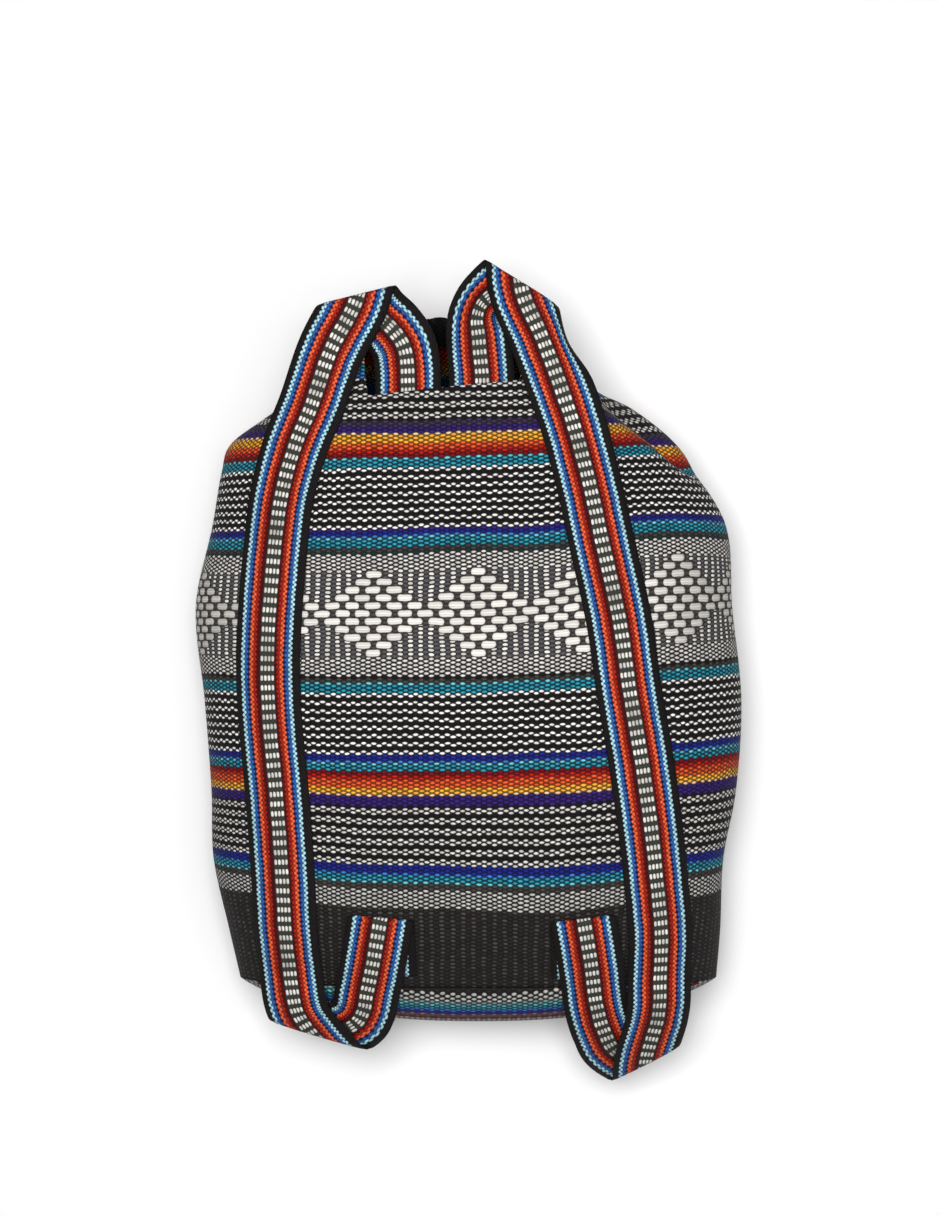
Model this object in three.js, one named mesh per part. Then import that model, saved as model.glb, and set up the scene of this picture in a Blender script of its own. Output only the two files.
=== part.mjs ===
// A soft drawstring bag of striped cloth with two woven shoulder straps, stuffed and lying on its front.
// Millimetres. +X is the right of its back, +Y runs from the base to the mouth, +Z is up from the floor.

import * as THREE from 'three';

// Driving sizes of the bag
const bagHalfWidth = 163.5;
const bagThickness = 150;
const bagLength = 390;
const clothWall = 2;
const bodySquareness = 2.5;
const baseBulge = 27;
const notchDepth = 42;
const notchHalfWidth = 49;
const notchCentre = -14;
const notchEdge = 5;
const notchTilt = 0.105;
const frontRimRise = 7;
const pleatDepth = 5.5;
const pleatCount = 10;
const pleatFade = 30;
const seatGap = 0.3;

// Driving sizes of the straps
const strapWidth = 38;
const strapThick = 1.6;
const tipFoldRadius = 3.4;
const topFoldRadius = 3.4;
const hemFoldRadius = 1.5;
const strapClear = 0.9;
const hemLength = 34;
const topTurnPlace = 34;
const topTurnReach = 28;
const edgeRollPlace = 34;
const edgeRollReach = 40;
const edgeRollStart = -0.13;

// How finely the cloth is cut into faces
const bodyColumns = 90;
const bodyRowStep = 0.08;
const baseRings = 4;
const sectionSteps = 360;
const strapAcross = 4;
const strapStep = 13;
const foldStep = 2.2;

// Cross-sections of the bag, from the base seam (0) to the mouth's far rim (1). left and right are shares of
// bagHalfWidth, top and bottom shares of bagThickness. A bottom below 0 is pressed flat by the floor.
const bodySections = [
  { along: 0.0, left: 0.84, right: 0.912, top: 0.8, bottom: 0.1 },
  { along: 0.075, left: 0.88, right: 0.925, top: 0.915, bottom: -0.01 },
  { along: 0.183, left: 0.935, right: 0.935, top: 0.975, bottom: -0.05 },
  { along: 0.285, left: 0.942, right: 0.98, top: 0.995, bottom: -0.06 },
  { along: 0.425, left: 0.967, right: 1.0, top: 1.0, bottom: -0.06 },
  { along: 0.568, left: 1.0, right: 0.967, top: 0.99, bottom: -0.06 },
  { along: 0.692, left: 0.94, right: 0.945, top: 0.965, bottom: -0.05 },
  { along: 0.777, left: 0.905, right: 0.825, top: 0.945, bottom: -0.03 },
  { along: 0.82, left: 0.868, right: 0.735, top: 0.93, bottom: 0.0 },
  { along: 0.866, left: 0.7, right: 0.585, top: 0.915, bottom: 0.07 },
  { along: 0.91, left: 0.56, right: 0.42, top: 0.9, bottom: 0.16 },
  { along: 0.956, left: 0.47, right: 0.31, top: 0.885, bottom: 0.26 },
  { along: 1.0, left: 0.45, right: 0.28, top: 0.86, bottom: 0.34 },
];

// Dents and swells of the stuffed back. x and size are shares of bagHalfWidth, along a share of bagLength,
// rise a share of bagThickness.
const backDents = [
  { x: 0.62, along: 0.8, sizeX: 0.2, sizeY: 0.07, rise: -0.03 },
  { x: -0.84, along: 0.8, sizeX: 0.14, sizeY: 0.12, rise: -0.02 },
  { x: 0.0, along: 0.08, sizeX: 0.6, sizeY: 0.1, rise: 0.015 },
  { x: -0.05, along: 0.55, sizeX: 0.5, sizeY: 0.2, rise: 0.012 },
  { x: 0.8, along: 0.3, sizeX: 0.14, sizeY: 0.12, rise: 0.015 },
];

// Straps as seen from above. x is a share of bagHalfWidth from the cloth's centre line, along a share of
// bagLength from the base seam. Each fold lies on a straight line across the strap: its middle and the
// direction of the line in degrees, and for the top fold its height as a share of bagThickness. turnBank is
// the sideways tilt in degrees of the turn between the mouth and the top fold, and edgeRoll the angle through
// which the strap's outer edge rolls down on the other side of that fold.
const strapPlans = {
  left_strap: {
    short: [
      { x: -0.21, along: 0.8 },
      { x: -0.213, along: 0.885 },
      { x: -0.222, along: 0.945 },
      { x: -0.262, along: 0.976 },
      { x: -0.32, along: 0.999 },
    ],
    turnBank: 14,
    edgeRoll: 0,
    topFold: { x: -0.395, along: 1.0165, heading: 14, height: 0.93 },
    main: [
      { x: -0.485, along: 0.945 },
      { x: -0.553, along: 0.866 },
      { x: -0.612, along: 0.805 },
      { x: -0.658, along: 0.735 },
      { x: -0.68, along: 0.665 },
      { x: -0.7, along: 0.557 },
      { x: -0.707, along: 0.47 },
      { x: -0.698, along: 0.39 },
      { x: -0.677, along: 0.297 },
      { x: -0.657, along: 0.18 },
      { x: -0.649, along: 0.09 },
      { x: -0.636, along: 0.02 },
      { x: -0.617, along: -0.036 },
    ],
    tipFold: { x: -0.577, along: -0.0695, heading: -16.6 },
    tail: [
      { x: -0.425, along: -0.066 },
      { x: -0.378, along: -0.04 },
      { x: -0.362, along: -0.01 },
      { x: -0.337, along: 0.04 },
    ],
    hemFold: { x: -0.309, along: 0.106, heading: -4 },
  },
  right_strap: {
    short: [
      { x: 0.05, along: 0.8 },
      { x: 0.048, along: 0.9 },
      { x: 0.037, along: 0.96 },
      { x: 0.03, along: 1.0 },
      { x: 0.075, along: 1.028 },
    ],
    turnBank: -38,
    edgeRoll: 70,
    topFold: { x: 0.187, along: 1.034, heading: -31, height: 0.93 },
    main: [
      { x: 0.264, along: 0.96 },
      { x: 0.348, along: 0.865 },
      { x: 0.39, along: 0.807 },
      { x: 0.432, along: 0.735 },
      { x: 0.468, along: 0.663 },
      { x: 0.527, along: 0.55 },
      { x: 0.563, along: 0.446 },
      { x: 0.605, along: 0.344 },
      { x: 0.643, along: 0.235 },
      { x: 0.668, along: 0.144 },
      { x: 0.683, along: 0.08 },
      { x: 0.683, along: 0.01 },
      { x: 0.68, along: -0.05 },
    ],
    tipFold: { x: 0.648, along: -0.128, heading: 31 },
    tail: [
      { x: 0.54, along: -0.112 },
      { x: 0.49, along: -0.074 },
      { x: 0.458, along: -0.03 },
      { x: 0.436, along: 0.03 },
    ],
    hemFold: { x: 0.405, along: 0.104, heading: 6 },
  },
};

// Beyond the base's edge a strap drops by a share of its distance from the edge, and more with its square.
// Its free runs slope down from the top fold, and the short one stays under the back until rimClear past its
// rim.
const tipDropSlope = 0.45;
const tipDropCurve = 0.0075;
const topRunSlope = 0.2;
const shortRunSlope = 0.1;
const smoothReach = 4;
const leanFade = 30;
const rimClear = 0.015;
const edgeReach = 0.035;

const cloth = new THREE.MeshStandardMaterial({ color: 0x6f6c6c, roughness: 0.95, metalness: 0 });
const baseCloth = new THREE.MeshStandardMaterial({ color: 0x4a5a66, roughness: 0.95, metalness: 0 });
const webbing = new THREE.MeshStandardMaterial({ color: 0x7a2f22, roughness: 0.9, metalness: 0 });

const lerp = THREE.MathUtils.lerp;
const smoothstep = THREE.MathUtils.smoothstep;
const degToRad = THREE.MathUtils.degToRad;

// A power that keeps its sign
function signedPower(value, power) {
  return Math.sign(value) * Math.abs(value) ** power;
}

// The larger of two heights, rounded over where they cross
function smoothMax(a, b) {
  return (a + b + Math.hypot(a - b, smoothReach)) / 2;
}

// A smooth curve through one column of a table, at a value of its along column
function fromTable(table, column, along) {
  const last = table.length - 1;
  const clamped = Math.min(Math.max(along, table[0].along), table[last].along);
  let i = 0;
  while (i < last - 1 && table[i + 1].along < clamped) i += 1;
  const slopeAt = (k) => {
    const before = table[Math.max(k - 1, 0)];
    const after = table[Math.min(k + 1, last)];
    return (after[column] - before[column]) / (after.along - before.along);
  };
  const span = table[i + 1].along - table[i].along;
  const t = (clamped - table[i].along) / span;
  const a = table[i][column];
  const b = table[i + 1][column];
  const h = t * t * (3 - 2 * t);
  const start = t * (1 - t) * (1 - t) * slopeAt(i) * span;
  const end = t * t * (1 - t) * slopeAt(i + 1) * span;
  return a * (1 - h) + b * h + start - end;
}

const placeX = (share) => share * bagHalfWidth;
const placeY = (along) => along * bagLength;
const placeOf = (row) => new THREE.Vector2(placeX(row.x), placeY(row.along));

// The rise of the dents and swells over a point of the back
function dentRise(x, along) {
  let rise = 0;
  for (const dent of backDents) {
    const dx = (x / bagHalfWidth - dent.x) / dent.sizeX;
    const dy = (along - dent.along) / dent.sizeY;
    rise += dent.rise * bagThickness * Math.exp(-dx * dx - dy * dy);
  }
  return rise;
}

// One cross-section: its centre and its half measures
function sectionShape(along) {
  const left = -fromTable(bodySections, 'left', along) * bagHalfWidth;
  const right = fromTable(bodySections, 'right', along) * bagHalfWidth;
  const top = fromTable(bodySections, 'top', along) * bagThickness;
  const bottom = fromTable(bodySections, 'bottom', along) * bagThickness;
  return {
    middleX: (left + right) / 2,
    halfX: (right - left) / 2,
    middleZ: (top + bottom) / 2,
    halfZ: (top - bottom) / 2,
  };
}

// The point of a cross-section at an angle, flattened by the floor and dented on the back
function sectionPoint(shape, along, angle) {
  const power = 2 / bodySquareness;
  const x = shape.middleX + shape.halfX * signedPower(Math.cos(angle), power);
  const up = signedPower(Math.sin(angle), power);
  const dent = up > 0 ? dentRise(x, along) * up : 0;
  return new THREE.Vector2(x, Math.max(shape.middleZ + shape.halfZ * up + dent, 0));
}

// The height of the back over a point of the plan
function backHeight(x, along) {
  const shape = sectionShape(along);
  const across = Math.min(Math.abs(x - shape.middleX) / shape.halfX, 1);
  const up = (1 - across ** bodySquareness) ** (1 / bodySquareness);
  return shape.middleZ + shape.halfZ * up + dentRise(x, along) * up;
}

// A cross-section as a run of points with their distances round it, clockwise from over the centre line
function sectionRun(along) {
  const shape = sectionShape(along);
  const offCentre = -shape.middleX / shape.halfX;
  const start = Math.acos(signedPower(offCentre, bodySquareness / 2));
  const points = [];
  const distances = [0];
  for (let i = 0; i <= sectionSteps; i += 1) {
    points.push(sectionPoint(shape, along, start - (2 * Math.PI * i) / sectionSteps));
    if (i > 0) distances.push(distances[i - 1] + points[i].distanceTo(points[i - 1]));
  }
  return { points, distances, length: distances[sectionSteps] };
}

// The place on a run at a distance round it, with its outward direction
function onRun(run, distance) {
  const wrapped = ((distance % run.length) + run.length) % run.length;
  let i = 1;
  while (run.distances[i] < wrapped) i += 1;
  const t = (wrapped - run.distances[i - 1]) / (run.distances[i] - run.distances[i - 1]);
  const place = run.points[i - 1].clone().lerp(run.points[i], t);
  const tangent = run.points[i].clone().sub(run.points[i - 1]).normalize();
  return { place, outward: new THREE.Vector2(-tangent.y, tangent.x) };
}

// The cloth's own width round the bag is the longest way round any section
const clothRound = Math.max(...bodySections.map((row) => sectionRun(row.along).length));
const flatHalf = notchHalfWidth + Math.abs(notchCentre) + 2 * notchEdge;

// Where a point of the cloth, measured from the back's centre line, lies round a section. The back stays flat
// at the middle, and the rest is drawn together.
function roundSection(run, around) {
  const half = run.length / 2;
  const size = Math.abs(around);
  const flat = Math.min(flatHalf, half / 2);
  const beyond = ((size - flat) * (half - flat)) / (clothRound / 2 - flat);
  return Math.sign(around) * (size < flat ? size : flat + beyond);
}

// The gathering starts at the neck and is full shortly before the rim
const neckStart = 0.8;
const neckFull = 0.94;

// Round the bag from the middle of its back, as shares of its cloth, its rim rises over this stretch
const frontRimStart = 0.3;
const frontRimFull = 0.46;

// The share of the gathering at a point of the cloth
function pleatShare(around, along) {
  const start = notchHalfWidth + notchEdge;
  const sides = smoothstep(Math.abs(around - notchCentre), start, start + pleatFade);
  return sides * smoothstep(along, neckStart, neckFull);
}

function pleatRise(around, along) {
  const wave = Math.cos((2 * Math.PI * pleatCount * around) / clothRound);
  return pleatDepth * pleatShare(around, along) * wave;
}

// The rim where both straps come out at the middle of the back: lower there, and rising to the right
const notchRim = (around) => 1 - (notchDepth - notchTilt * (around - notchCentre)) / bagLength;

// How far along the bag its rim lies
function rimAlong(around) {
  const off = Math.abs(around - notchCentre);
  const notch = 1 - smoothstep(off, notchHalfWidth - notchEdge, notchHalfWidth + notchEdge);
  const front = smoothstep(off / clothRound, frontRimStart, frontRimFull);
  return lerp(1 + (front * frontRimRise) / bagLength, notchRim(around), notch);
}

const alongOfRow = (row, around) => {
  if (row < neckStart) return row;
  return lerp(neckStart, rimAlong(around), (row - neckStart) / (1 - neckStart));
};

// A point of the outer cloth of the body
function bodyPoint(around, row) {
  const along = alongOfRow(row, around);
  const run = sectionRun(along);
  const { place, outward } = onRun(run, roundSection(run, around));
  place.addScaledVector(outward, pleatRise(around, along));
  return new THREE.Vector3(place.x, placeY(along), Math.max(place.y, 0));
}

// Normals of a grid of points; wrapped says that its columns close on themselves
function gridNormals(rows, wrapped) {
  const normals = [];
  for (let j = 0; j < rows.length; j += 1) {
    const line = [];
    const count = rows[j].length;
    for (let i = 0; i < count; i += 1) {
      const before = wrapped ? (i + count - 1) % count : Math.max(i - 1, 0);
      const after = wrapped ? (i + 1) % count : Math.min(i + 1, count - 1);
      const across = rows[j][after].clone().sub(rows[j][before]);
      const next = rows[Math.min(j + 1, rows.length - 1)][i];
      const along = next.clone().sub(rows[Math.max(j - 1, 0)][i]);
      line.push(across.cross(along).normalize());
    }
    normals.push(line);
  }
  return normals;
}

// A closed solid between two grids of points of the same size, outer facing out
function solidBetween(outer, inner, wrapped) {
  const positions = [];
  const indices = [];
  const count = outer[0].length;
  for (const grid of [outer, inner]) {
    for (const row of grid) {
      for (const point of row) positions.push(point.x, point.y, point.z);
    }
  }
  const innerStart = outer.length * count;
  const at = (j, i) => j * count + (i % count);
  const quad = (a, b, c, d) => indices.push(a, b, c, a, c, d);
  const columns = wrapped ? count : count - 1;
  const lastRow = outer.length - 1;
  for (let i = 0; i < columns; i += 1) {
    for (let j = 0; j < lastRow; j += 1) {
      quad(at(j, i), at(j, i + 1), at(j + 1, i + 1), at(j + 1, i));
      quad(
        innerStart + at(j, i),
        innerStart + at(j + 1, i),
        innerStart + at(j + 1, i + 1),
        innerStart + at(j, i + 1),
      );
    }
    quad(at(0, i), innerStart + at(0, i), innerStart + at(0, i + 1), at(0, i + 1));
    quad(at(lastRow, i), at(lastRow, i + 1), innerStart + at(lastRow, i + 1), innerStart + at(lastRow, i));
  }
  if (!wrapped) {
    for (let j = 0; j < lastRow; j += 1) {
      quad(at(j, 0), at(j + 1, 0), innerStart + at(j + 1, 0), innerStart + at(j, 0));
      const end = count - 1;
      quad(at(j, end), innerStart + at(j, end), innerStart + at(j + 1, end), at(j + 1, end));
    }
  }
  const geometry = new THREE.BufferGeometry();
  geometry.setAttribute('position', new THREE.Float32BufferAttribute(positions, 3));
  geometry.setIndex(indices);
  geometry.computeVertexNormals();
  return geometry;
}

const shifted = (rows, normals, distance) =>
  rows.map((row, j) => row.map((point, i) => point.clone().addScaledVector(normals[j][i], distance)));

// Rows of the body: each gap of the table is cut into steps no longer than bodyRowStep
function bodyRows() {
  const rows = [0];
  for (let k = 1; k < bodySections.length; k += 1) {
    const from = bodySections[k - 1].along;
    const to = bodySections[k].along;
    const steps = Math.ceil((to - from) / bodyRowStep);
    for (let i = 1; i <= steps; i += 1) rows.push(lerp(from, to, i / steps));
  }
  return rows;
}

const columnPlaces = Array.from({ length: bodyColumns }, (_, i) => (i / bodyColumns - 0.5) * clothRound);

function bagBody() {
  const outer = bodyRows().map((row) => columnPlaces.map((around) => bodyPoint(around, row)));
  const normals = gridNormals(outer, true);
  return solidBetween(outer, shifted(outer, normals, -clothWall), true);
}

// The base: a shallow dome on the outline of the body's first section
function basePanel() {
  const run = sectionRun(0);
  const shape = sectionShape(0);
  const middle = new THREE.Vector2(shape.middleX, shape.middleZ);
  const startAngle = degToRad(20);
  const tipAngle = degToRad(86);
  const ring = (angle, size, bulge) => {
    const share = (Math.cos(angle) / Math.cos(startAngle)) * size;
    const depth = (Math.sin(angle) - Math.sin(startAngle)) / (1 - Math.sin(startAngle));
    return columnPlaces.map((around) => {
      const { place } = onRun(run, roundSection(run, around));
      place.sub(middle).multiplyScalar(share).add(middle);
      return new THREE.Vector3(place.x, -seatGap - depth * bulge, Math.max(place.y, 0));
    });
  };
  const angles = Array.from({ length: baseRings }, (_, i) => lerp(startAngle, tipAngle, i / (baseRings - 1)));
  const outer = angles.map((angle) => ring(angle, 1, baseBulge));
  const inner = angles.map((angle) => ring(angle, 1 - clothWall / shape.halfZ, baseBulge - clothWall));
  return domeBetween(outer, inner);
}

// A closed solid between two nested domes, each a stack of rings closed by a fan at its middle
function domeBetween(outer, inner) {
  const middleOf = (ring) => {
    const total = ring.reduce((sum, p) => sum.add(p), new THREE.Vector3());
    return total.divideScalar(ring.length);
  };
  const positions = [];
  const indices = [];
  const count = outer[0].length;
  const rings = outer.length;
  for (const grid of [outer, inner]) {
    for (const row of grid) {
      for (const point of row) positions.push(point.x, point.y, point.z);
    }
  }
  const innerStart = rings * count;
  const outerTip = 2 * rings * count;
  const outerMiddle = middleOf(outer[rings - 1]);
  const innerMiddle = middleOf(inner[rings - 1]);
  positions.push(outerMiddle.x, outerMiddle.y, outerMiddle.z, innerMiddle.x, innerMiddle.y, innerMiddle.z);
  const quad = (a, b, c, d) => indices.push(a, b, c, a, c, d);
  for (let i = 0; i < count; i += 1) {
    const next = (i + 1) % count;
    for (let j = 0; j < rings - 1; j += 1) {
      const near = j * count;
      const far = near + count;
      quad(near + i, far + i, far + next, near + next);
      quad(innerStart + near + i, innerStart + near + next, innerStart + far + next, innerStart + far + i);
    }
    const last = (rings - 1) * count;
    indices.push(last + i, outerTip, last + next);
    indices.push(innerStart + last + i, innerStart + last + next, outerTip + 1);
    quad(i, next, innerStart + next, innerStart + i);
  }
  const geometry = new THREE.BufferGeometry();
  geometry.setAttribute('position', new THREE.Float32BufferAttribute(positions, 3));
  geometry.setIndex(indices);
  geometry.computeVertexNormals();
  return geometry;
}

// A fold of a flat strip: its line in the plan, and the side that lies beyond it
class Fold {
  constructor(line, radius, outwardSign) {
    const heading = degToRad(line.heading);
    this.middle = placeOf(line);
    this.line = new THREE.Vector2(Math.cos(heading), Math.sin(heading));
    this.normal = new THREE.Vector2(-this.line.y, this.line.x).multiplyScalar(outwardSign);
    this.radius = radius;
    this.round = Math.PI * radius;
  }

  beyond(point) {
    return point.clone().sub(this.middle).dot(this.normal);
  }

  // The place in the strip laid out flat of a point of the folded part
  unfold(point) {
    return point.clone().addScaledVector(this.normal, this.round - 2 * this.beyond(point));
  }

  // The place in the plan of a point of the flat strip, and how far under the fold it has gone, from 0 to 1
  fold(point) {
    const beyond = this.beyond(point);
    if (beyond <= 0) return { point: point.clone(), under: 0, back: -beyond };
    const turn = Math.min(beyond / this.radius, Math.PI);
    const back = Math.max(beyond - this.round, 0);
    const offset = this.radius * Math.sin(turn) - back - beyond;
    const folded = point.clone().addScaledVector(this.normal, offset);
    return { point: folded, under: (1 - Math.cos(turn)) / 2, back };
  }
}

// The strip laid out flat, from its hem to its end in the mouth, with the places of its three folds along it
function strapLayout(plan) {
  const tip = new Fold(plan.tipFold, tipFoldRadius, -1);
  const top = new Fold(plan.topFold, topFoldRadius, 1);
  const hem = new Fold(plan.hemFold, hemFoldRadius, 1);
  const tail = plan.tail.map(placeOf);
  const onward = hem.middle.clone().sub(tail[tail.length - 1]).normalize();
  const hemEnd = hem.middle.clone().addScaledVector(onward, hem.round + hemLength);
  const lower = [hemEnd, hem.middle, ...tail.reverse()].map((point) => tip.unfold(point));
  const upper = plan.short.map((row) => top.unfold(placeOf(row)));
  const places = [...lower, tip.middle, ...plan.main.map(placeOf).reverse(), top.middle, ...upper.reverse()];
  const curve = new THREE.SplineCurve(places);
  const steps = 60;
  const lengths = curve.getLengths((places.length - 1) * steps);
  curve.arcLengthDivisions = (places.length - 1) * steps;
  const lengthAt = (index) => lengths[index * steps];
  const tipIndex = lower.length;
  const topIndex = places.length - 1 - upper.length;
  const length = lengths[lengths.length - 1];
  const folds = [
    { fold: hem, at: lengthAt(1), sense: -1, frame: tip },
    { fold: tip, at: lengthAt(tipIndex), sense: -1 },
    { fold: top, at: lengthAt(topIndex), sense: 1 },
  ];
  return { tip, top, hem, curve, length, folds, plan, topAt: lengthAt(topIndex) };
}

// The direction of the strip and its right side at a distance along it
function strapFrame(layout, distance) {
  const t = THREE.MathUtils.clamp(distance / layout.length, 0, 1);
  const centre = layout.curve.getPointAt(t);
  const tangent = layout.curve.getTangentAt(t);
  return { centre, tangent, side: new THREE.Vector2(tangent.y, -tangent.x) };
}

// A smooth hump along the strap, 1 at its place and 0 beyond its reach
function humpAt(distance, place, reach) {
  const off = Math.min(Math.abs(distance - place) / reach, 1);
  return Math.cos((off * Math.PI) / 2) ** 2;
}

// How far over to the side a point of the strap's width lies, and how far down and up it is turned: by the
// tilt where the strap turns out of the mouth, and by the roll of its outer edge beyond the top fold
function turnedAcross(layout, distance, across) {
  const bank = degToRad(layout.plan.turnBank) * humpAt(distance, layout.topAt + topTurnPlace, topTurnReach);
  const start = edgeRollStart * strapWidth;
  const share = humpAt(distance, layout.topAt - edgeRollPlace, edgeRollReach);
  const turn = (degToRad(layout.plan.edgeRoll) * share) / (strapWidth / 2 - start);
  const beyond = Math.max(across - start, 0);
  const isRolled = turn * beyond > 0;
  const inward = isRolled ? beyond - Math.sin(turn * beyond) / turn : 0;
  const drop = isRolled ? (1 - Math.cos(turn * beyond)) / turn : 0;
  return { aside: across * Math.cos(bank) - inward, raised: across * Math.sin(bank) - drop };
}

// Heights of the upper half: over the shoulder, round the top fold and down into the mouth
function upperHeight(layout, folded, point, raised) {
  const along = point.y / bagLength;
  const centre = layout.plan.topFold.height * bagThickness;
  const radius = topFoldRadius * (1 - 2 * folded.under);
  const half = strapClear + strapThick / 2;
  if (folded.under < 0.5) {
    const free = centre + radius - topRunSlope * folded.back + raised;
    return smoothMax(free, backHeight(point.x, along) + half);
  }
  const free = centre + radius - shortRunSlope * folded.back;
  const inside = backHeight(point.x, along) - clothWall - half - seatGap;
  const rim = notchRim(point.x);
  return lerp(inside, free, smoothstep(along, rim + rimClear, rim + 5 * rimClear)) + raised;
}

// Heights of the lower half: on the back, over the base's edge and back under the tip fold to the sewn hem
function lowerHeight(folded, hemmed, point, along) {
  const beyondEdge = Math.max(-along, 0) * bagLength;
  const drop = tipDropSlope * beyondEdge + tipDropCurve * beyondEdge ** 2;
  const onBag = smoothstep(along, -edgeReach, edgeReach);
  const overTip = (1 - folded.under) * 2 * tipFoldRadius * (1 - onBag);
  const overHem = folded.under * 2 * hemFoldRadius * (1 - hemmed.under) * onBag;
  const ground = backHeight(point.x, Math.max(along, 0)) - drop;
  return ground + strapClear + strapThick / 2 + overTip + overHem;
}

// A point of the strap's middle surface, at a distance along the flat strip and a distance across it
function strapPoint(layout, distance, across) {
  const { centre, side } = strapFrame(layout, distance);
  const { aside, raised } = turnedAcross(layout, distance, across);
  const flat = centre.addScaledVector(side, aside);
  if (distance > (layout.folds[1].at + layout.topAt) / 2) {
    const folded = layout.top.fold(flat);
    const { point } = folded;
    return new THREE.Vector3(point.x, point.y, upperHeight(layout, folded, point, raised));
  }
  const folded = layout.tip.fold(flat);
  const isTail = folded.under > 0.999;
  const hemmed = isTail ? layout.hem.fold(folded.point) : { point: folded.point, under: 0 };
  const { point } = hemmed;
  return new THREE.Vector3(point.x, point.y, lowerHeight(folded, hemmed, point, point.y / bagLength));
}

// How much the cuts across the strip lean, so that near a fold they lie along its line
function skewNear(layout, entry) {
  const { tangent, side } = strapFrame(layout, entry.at);
  const line = entry.frame ? mirrored(entry.fold.line, entry.frame.normal) : entry.fold.line;
  return tangent.dot(line) / side.dot(line);
}

const mirrored = (vector, normal) => vector.clone().addScaledVector(normal, -2 * vector.dot(normal));

// Cuts across the strip: their distances along it and their leans, close together round each fold
function strapCuts(layout) {
  const zones = layout.folds.map((entry) => {
    const start = entry.sense < 0 ? entry.at - entry.fold.round : entry.at;
    const lean = skewNear(layout, entry);
    return { from: start - foldStep, to: start + entry.fold.round + foldStep, lean };
  });
  const leanAt = (distance) => {
    let lean = 0;
    for (const zone of zones) {
      const off = Math.max(zone.from - distance, distance - zone.to, 0);
      lean += zone.lean * (1 - smoothstep(off, 0, leanFade));
    }
    return lean;
  };
  const stops = [0, ...zones.flatMap((zone) => [zone.from, zone.to]), layout.length];
  const cuts = [];
  for (let k = 1; k < stops.length; k += 1) {
    const step = k % 2 === 0 ? foldStep : strapStep;
    const count = Math.max(Math.ceil((stops[k] - stops[k - 1]) / step), 1);
    for (let i = k === 1 ? 0 : 1; i <= count; i += 1) {
      const distance = lerp(stops[k - 1], stops[k], i / count);
      const atEnd = distance === 0 || distance === layout.length;
      cuts.push({ distance, lean: atEnd ? 0 : leanAt(distance) });
    }
  }
  return cuts;
}

function strap(plan) {
  const layout = strapLayout(plan);
  const middle = strapCuts(layout).map((cut) =>
    Array.from({ length: strapAcross + 1 }, (_, i) => {
      const across = (i / strapAcross - 0.5) * strapWidth;
      return strapPoint(layout, cut.distance + across * cut.lean, across);
    }),
  );
  const normals = gridNormals(middle, false);
  return solidBetween(
    shifted(middle, normals, strapThick / 2),
    shifted(middle, normals, -strapThick / 2),
    false,
  );
}

const bag = new THREE.Group();

function addPiece(name, geometry, material) {
  const mesh = new THREE.Mesh(geometry, material);
  mesh.name = name;
  bag.add(mesh);
}

addPiece('bag_body', bagBody(), cloth);
addPiece('base_panel', basePanel(), baseCloth);
addPiece('left_strap', strap(strapPlans.left_strap), webbing);
addPiece('right_strap', strap(strapPlans.right_strap), webbing);

// The origin lies on the floor, under the middle of the whole bag
const bounds = new THREE.Box3().setFromObject(bag);
const middle = bounds.getCenter(new THREE.Vector3());
bag.position.set(-middle.x, -middle.y, -bounds.min.z);
bag.updateMatrixWorld(true);

export default bag;
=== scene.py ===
import math

import bpy
import numpy as np
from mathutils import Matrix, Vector


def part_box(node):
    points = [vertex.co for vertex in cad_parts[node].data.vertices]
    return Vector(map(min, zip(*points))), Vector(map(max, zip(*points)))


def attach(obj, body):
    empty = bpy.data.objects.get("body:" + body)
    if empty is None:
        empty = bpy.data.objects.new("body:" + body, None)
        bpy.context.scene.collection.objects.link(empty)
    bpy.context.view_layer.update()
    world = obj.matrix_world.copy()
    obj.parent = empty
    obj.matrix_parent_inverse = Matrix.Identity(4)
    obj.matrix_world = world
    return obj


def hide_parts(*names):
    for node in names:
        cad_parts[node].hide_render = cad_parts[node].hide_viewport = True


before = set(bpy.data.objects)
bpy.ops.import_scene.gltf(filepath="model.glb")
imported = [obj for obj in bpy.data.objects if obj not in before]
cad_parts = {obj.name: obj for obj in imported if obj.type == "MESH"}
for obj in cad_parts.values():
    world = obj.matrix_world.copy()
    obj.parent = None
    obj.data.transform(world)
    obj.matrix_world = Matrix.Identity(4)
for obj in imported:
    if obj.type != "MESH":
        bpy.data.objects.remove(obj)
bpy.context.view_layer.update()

# Lengths are millimetres in the bag's own frame, whose base seam lies at y = 0, and metres in Blender
MM = 0.001
SEAM_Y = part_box("bag_body")[0][1] / MM

# Driving sizes of the bag, as in the part's source
BAG_HALF_WIDTH = 163.5
BAG_THICKNESS = 150.0
BAG_LENGTH = 390.0
CLOTH_WALL = 2.0
SQUARENESS = 2.5
SEAT_GAP = 0.3

# The base, a dome whose arc runs from its seam to nearly upright
BASE_BULGE = 27.0
DOME_START = math.radians(20)
DOME_END = math.radians(89.7)

# The rim: a notch at the middle of the back, and a front that stands higher, by shares of the way round
NOTCH_DEPTH = 42.0
NOTCH_HALF_WIDTH = 49.0
NOTCH_CENTRE = -14.0
NOTCH_EDGE = 5.0
NOTCH_TILT = 0.105
FRONT_RIM_RISE = 7.0
FRONT_RIM_START = 0.3
FRONT_RIM_FULL = 0.46

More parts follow.
